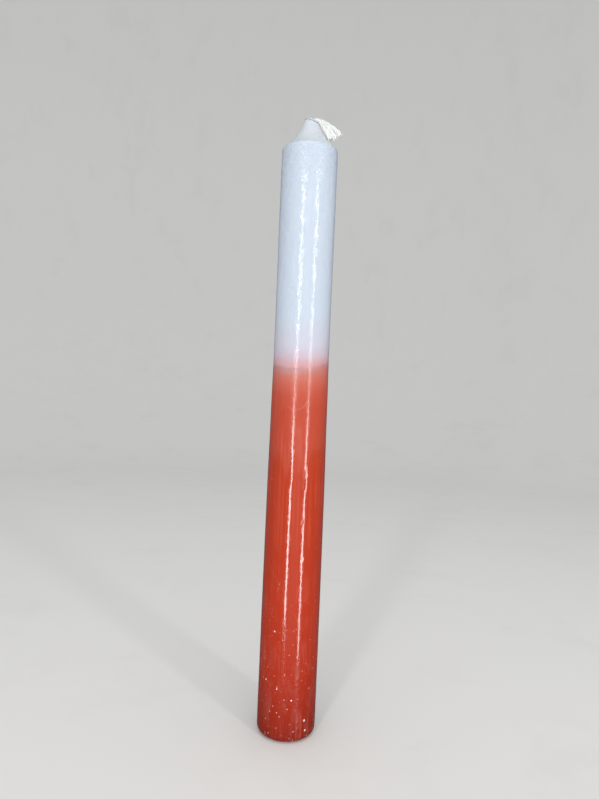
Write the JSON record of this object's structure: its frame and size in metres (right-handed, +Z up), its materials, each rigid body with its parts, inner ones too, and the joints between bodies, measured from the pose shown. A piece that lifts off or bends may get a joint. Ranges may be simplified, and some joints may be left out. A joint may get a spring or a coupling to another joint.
{
  "type": "dinner candle",
  "caption": "Straight dipped candle with a white upper part, a red lower part with a soft dip line, a milled concave neck and a plaited wick bent over to one side; it stands on its flat foot.",
  "frame": {"origin": "centre of the flat foot face, on the candle's axis", "axes": "+Z up along the candle from the foot to the neck, +X towards the side that the wick's free end hangs over"},
  "size_m": [0.0233, 0.023, 0.2422],
  "materials": {
    "white_wax": "bluish white paraffin wax, semi-gloss, matt where the neck is milled",
    "thin_red_wax": "thin translucent skin of red paraffin wax over white, glossy, fading out at its upper edge",
    "red_wax": "opaque brick-red paraffin wax, glossy, with faint runs and scuffs",
    "wick_cotton": "bleached cotton yarn, lightly waxed where it leaves the neck"
  },
  "bodies": {
    "root": {"wax_core": "white_wax", "red_first_dip": "thin_red_wax", "red_second_dip": "red_wax", "wick_strand_outer": "wick_cotton", "wick_strand_middle": "wick_cotton", "wick_strand_inner": "wick_cotton"}
  },
  "joints": []
}
